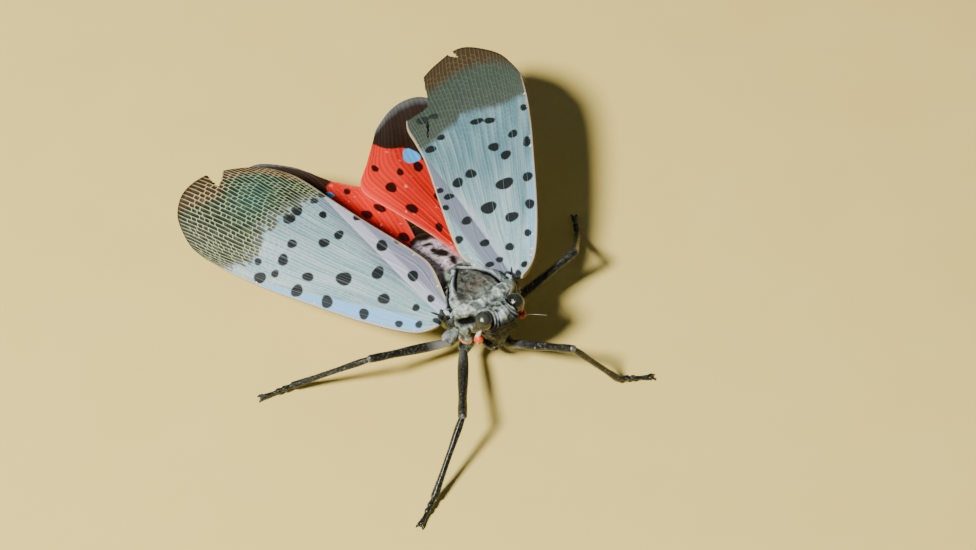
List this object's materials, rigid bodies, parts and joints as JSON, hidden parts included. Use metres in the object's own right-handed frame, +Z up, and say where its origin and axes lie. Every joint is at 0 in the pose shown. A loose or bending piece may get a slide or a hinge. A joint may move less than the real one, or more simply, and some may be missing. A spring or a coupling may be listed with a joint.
{
  "type": "spotted lanternfly",
  "caption": "Life-size lanternfly standing with spotted forewings and red hindwings spread, abdomen lowered, feet flat on the floor.",
  "frame": {"origin": "middle of the model's bounding box in X and Y, on the floor that the feet stand on", "axes": "+Z up, head towards -Y, the insect's right side at -X"},
  "size_m": [0.0304, 0.0308, 0.009],
  "materials": {
    "waxy_shell": "pale grey-green cuticle dusted with wax, matt",
    "dark_shell": "near black cuticle with a low sheen",
    "forewing": "grey-blue leathery wing with dark round spots, a netted brown tip and fine pale veins, matt",
    "hindwing": "red wing membrane with black spots, a brown-black outer band and a pale patch, matt",
    "eye": "grey-green compound eye, glossy",
    "feeler": "orange-red swollen antenna base with a fine dark bristle",
    "belly": "yellow-brown abdomen with dark bands and waxy bloom"
  },
  "bodies": {
    "root": {"abdomen": "belly", "antenna_left": "feeler", "antenna_right": "feeler", "eye_left": "eye", "eye_right": "eye", "femur_fore_left": "dark_shell", "femur_fore_right": "dark_shell", "femur_hind_left": "dark_shell", "femur_hind_right": "dark_shell", "femur_mid_left": "dark_shell", "femur_mid_right": "dark_shell", "forewing_left": "forewing", "forewing_right": "forewing", "head": "waxy_shell", "hindwing_left": "hindwing", "hindwing_right": "hindwing", "mesothorax": "waxy_shell", "metathorax": "waxy_shell", "pronotum": "waxy_shell", "rostrum": "dark_shell", "tarsus_fore_left": "dark_shell", "tarsus_fore_right": "dark_shell", "tarsus_hind_left": "dark_shell", "tarsus_hind_right": "dark_shell", "tarsus_mid_left": "dark_shell", "tarsus_mid_right": "dark_shell", "tibia_fore_left": "dark_shell", "tibia_fore_right": "dark_shell", "tibia_hind_left": "dark_shell", "tibia_hind_right": "dark_shell", "tibia_mid_left": "dark_shell", "tibia_mid_right": "dark_shell"}
  },
  "joints": []
}
